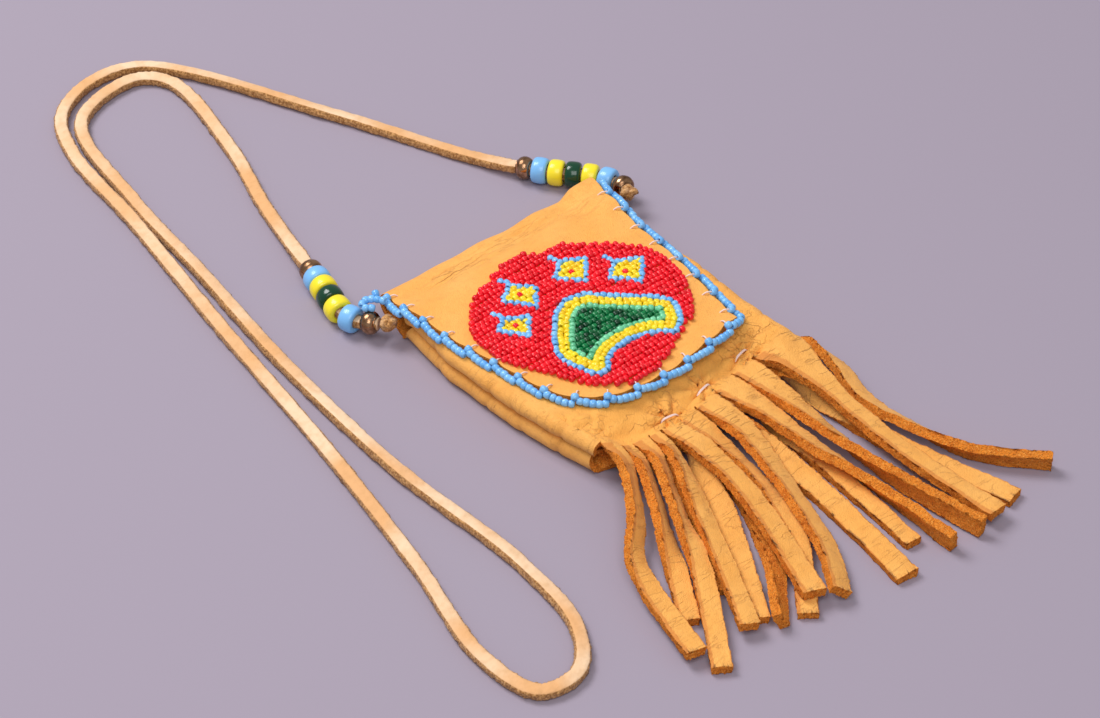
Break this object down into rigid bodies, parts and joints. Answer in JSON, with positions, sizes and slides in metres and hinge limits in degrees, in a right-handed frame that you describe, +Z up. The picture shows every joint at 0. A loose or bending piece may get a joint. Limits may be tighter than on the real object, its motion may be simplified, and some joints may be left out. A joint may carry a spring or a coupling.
{
  "type": "beaded medicine bag",
  "caption": "Fringed hide pouch with a turned-over flap, a disc of seed beads with a paw on it, a beaded flap edge, and a neck thong with beads at both ends.",
  "frame": {"origin": "on the surface that the bag lies on, under the middle of the box round the bag without its thong", "axes": "+X to the bag's right as seen from above, +Y from the fringe's tips to the fold, +Z up out of the flap"},
  "size_m": [0.191, 0.3635, 0.018],
  "materials": {
    "hide": "soft golden-tan tanned hide, smooth outside, brown nap on the cut edges and inside",
    "thong": "pale hide thong with a fuzzy edge",
    "light_blue_seed_beads": "opaque light-blue glass seed beads",
    "yellow_seed_beads": "opaque yellow glass seed beads",
    "red_seed_beads": "red glass seed beads",
    "mint_seed_beads": "mint-green glass seed beads",
    "dark_green_seed_beads": "dark-green see-through glass seed beads",
    "brass": "aged dark brass",
    "blue_bead": "glossy light-blue pony bead",
    "yellow_bead": "glossy yellow pony bead",
    "green_bead": "glossy dark-green pony bead"
  },
  "bodies": {
    "pouch": {"front_panel": "hide", "back_panel": "hide", "corner_bead_curl": "light_blue_seed_beads", "neck_thong": "thong", "left_knot": "thong", "right_knot": "thong", "left_brass_bead_1": "brass", "left_brass_bead_2": "brass", "right_brass_bead_1": "brass", "right_brass_bead_2": "brass", "left_blue_bead_1": "blue_bead", "left_blue_bead_2": "blue_bead", "right_blue_bead_1": "blue_bead", "right_blue_bead_2": "blue_bead", "left_yellow_bead_1": "yellow_bead", "left_yellow_bead_2": "yellow_bead", "right_yellow_bead_1": "yellow_bead", "right_yellow_bead_2": "yellow_bead", "left_green_bead_1": "green_bead", "right_green_bead_1": "green_bead"},
    "flap": {"flap": "hide", "flap_edge_beads": "light_blue_seed_beads", "red_disc": "red_seed_beads", "pad_blue": "light_blue_seed_beads", "pad_yellow": "yellow_seed_beads", "pad_mint": "mint_seed_beads", "pad_green": "dark_green_seed_beads", "toe_first": "yellow_seed_beads", "toe_second": "yellow_seed_beads", "toe_third": "yellow_seed_beads", "toe_fourth": "yellow_seed_beads", "toe_edge_first": "light_blue_seed_beads", "toe_edge_second": "light_blue_seed_beads", "toe_edge_third": "light_blue_seed_beads", "toe_edge_fourth": "light_blue_seed_beads", "toe_heart_first": "red_seed_beads", "toe_heart_second": "red_seed_beads", "toe_heart_third": "red_seed_beads", "toe_heart_fourth": "red_seed_beads"}
  },
  "joints": [
    {"name": "flap_hinge", "type": "hinge", "parent": "pouch", "child": "flap", "pos_m": [0.0008, 0.09335, 0.0046], "axis": [-1, 0, 0], "range_deg": [0, 110]}
  ]
}
